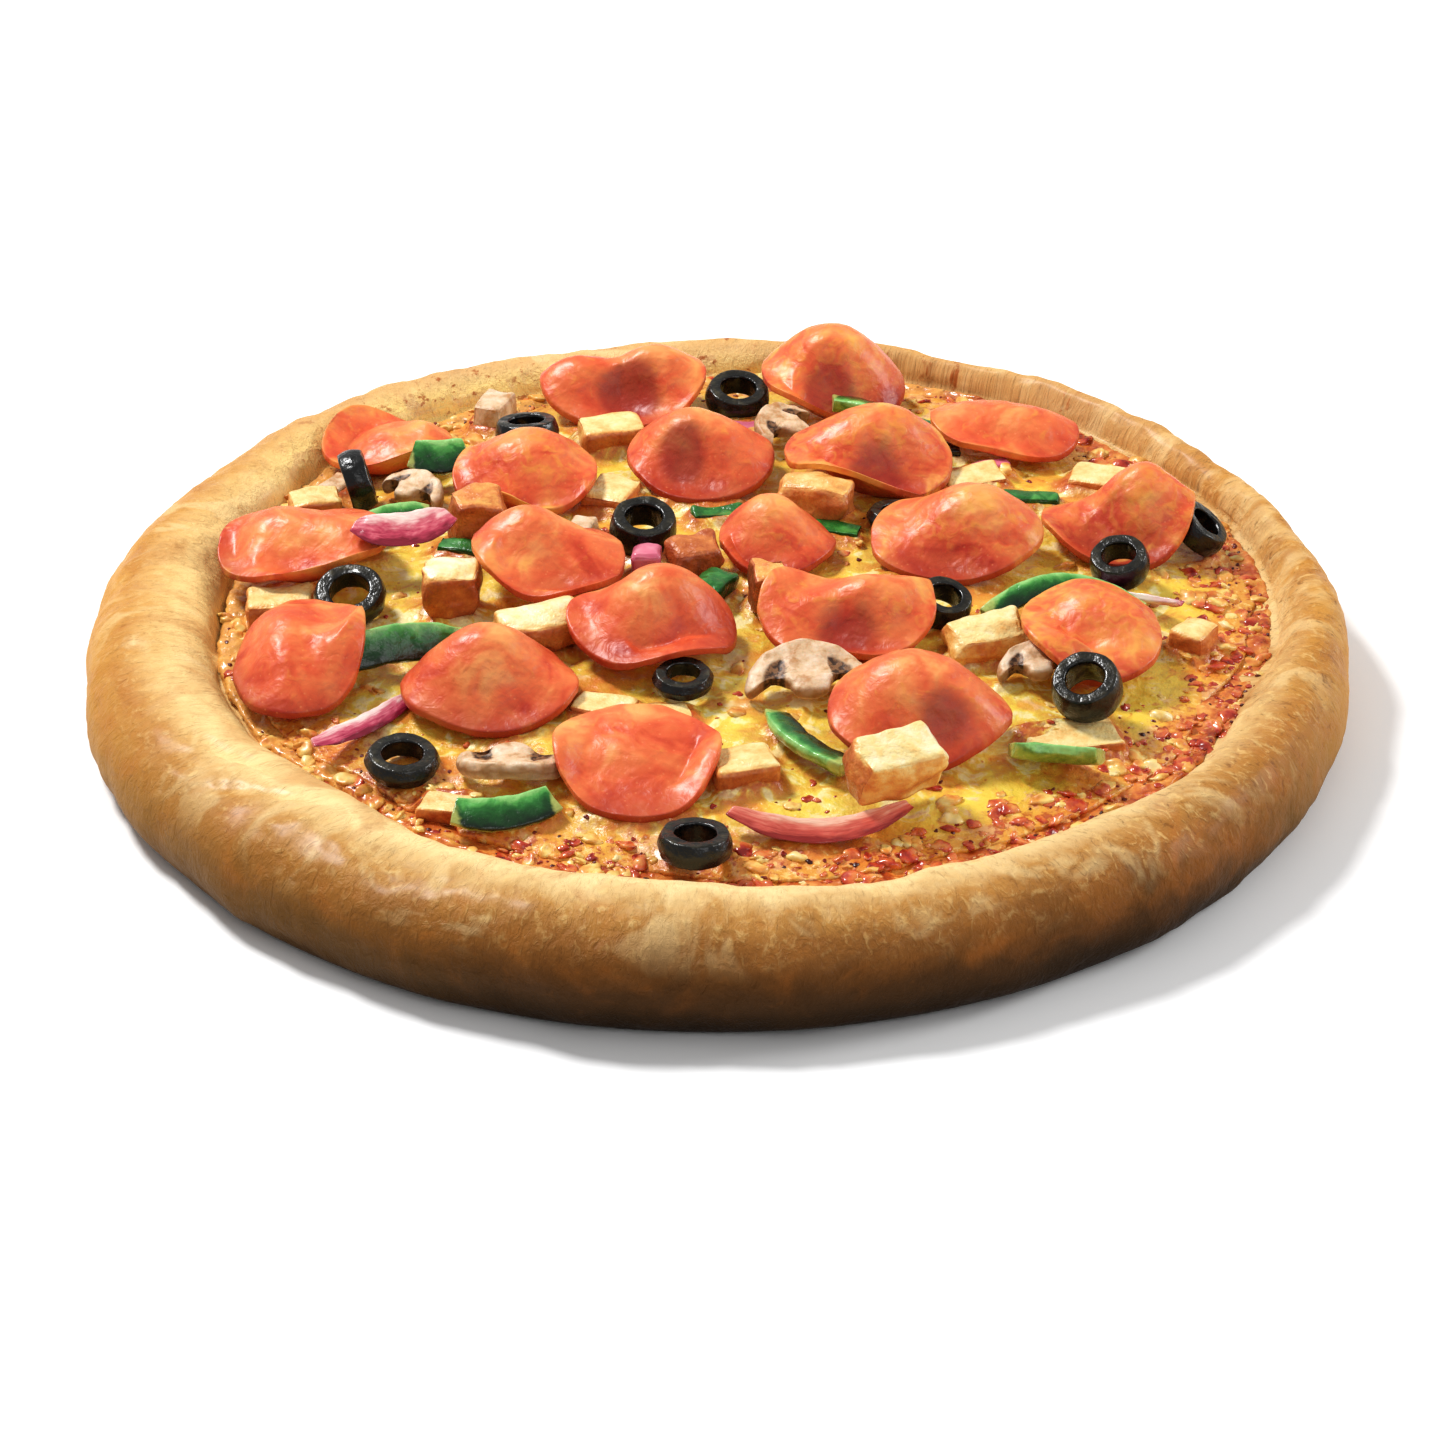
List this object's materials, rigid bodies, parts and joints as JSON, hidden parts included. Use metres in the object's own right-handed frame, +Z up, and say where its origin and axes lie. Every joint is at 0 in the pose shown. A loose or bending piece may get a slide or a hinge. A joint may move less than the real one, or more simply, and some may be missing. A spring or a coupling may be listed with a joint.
{
  "type": "pan pizza",
  "caption": "Round pan pizza with a thick puffed crust, tomato sauce, melted cheese, pepperoni, olives, mushrooms, green pepper, red onion and chicken.",
  "frame": {"origin": "middle of the flat underside of the crust, on the surface that the pizza lies on", "axes": "+Z up; -Y towards the viewer of the reference picture, +X to the right of it"},
  "size_m": [0.3007, 0.3012, 0.0439],
  "materials": {
    "crust": "matte baked dough, golden brown in patches",
    "sauce": "wet, lumpy tomato sauce",
    "cheese": "melted cheese, slightly oily, browned in spots",
    "pepperoni": "cured sausage slice, oily sheen",
    "olive": "wet black skin",
    "mushroom": "baked mushroom slice with darker gills",
    "green_pepper": "glossy skin, paler cut edges",
    "red_onion": "moist, half clear layers",
    "chicken": "roast chicken, browned sides"
  },
  "bodies": {
    "root": {"cheese": "cheese", "chicken_01": "chicken", "chicken_02": "chicken", "chicken_03": "chicken", "chicken_04": "chicken", "chicken_05": "chicken", "chicken_06": "chicken", "chicken_07": "chicken", "chicken_08": "chicken", "crust": "crust", "mushroom_01": "mushroom", "mushroom_02": "mushroom", "mushroom_03": "mushroom", "mushroom_04": "mushroom", "mushroom_05": "mushroom", "olive_01": "olive", "olive_02": "olive", "olive_03": "olive", "olive_04": "olive", "olive_05": "olive", "olive_06": "olive", "olive_07": "olive", "olive_08": "olive", "olive_09": "olive", "olive_10": "olive", "olive_11": "olive", "olive_12": "olive", "olive_13": "olive", "onion_01": "red_onion", "onion_02": "red_onion", "onion_03": "red_onion", "onion_04": "red_onion", "pepper_01": "green_pepper", "pepper_02": "green_pepper", "pepper_03": "green_pepper", "pepper_04": "green_pepper", "pepper_05": "green_pepper", "pepper_06": "green_pepper", "pepper_07": "green_pepper", "pepper_08": "green_pepper", "pepperoni_01": "pepperoni", "pepperoni_02": "pepperoni", "pepperoni_03": "pepperoni", "pepperoni_04": "pepperoni", "pepperoni_05": "pepperoni", "pepperoni_06": "pepperoni", "pepperoni_07": "pepperoni", "pepperoni_08": "pepperoni", "pepperoni_09": "pepperoni", "pepperoni_10": "pepperoni", "pepperoni_11": "pepperoni", "pepperoni_12": "pepperoni", "pepperoni_13": "pepperoni", "pepperoni_14": "pepperoni", "pepperoni_15": "pepperoni", "pepperoni_16": "pepperoni", "pepperoni_17": "pepperoni", "pepperoni_18": "pepperoni", "pepperoni_19": "pepperoni", "sauce": "sauce"}
  },
  "joints": []
}
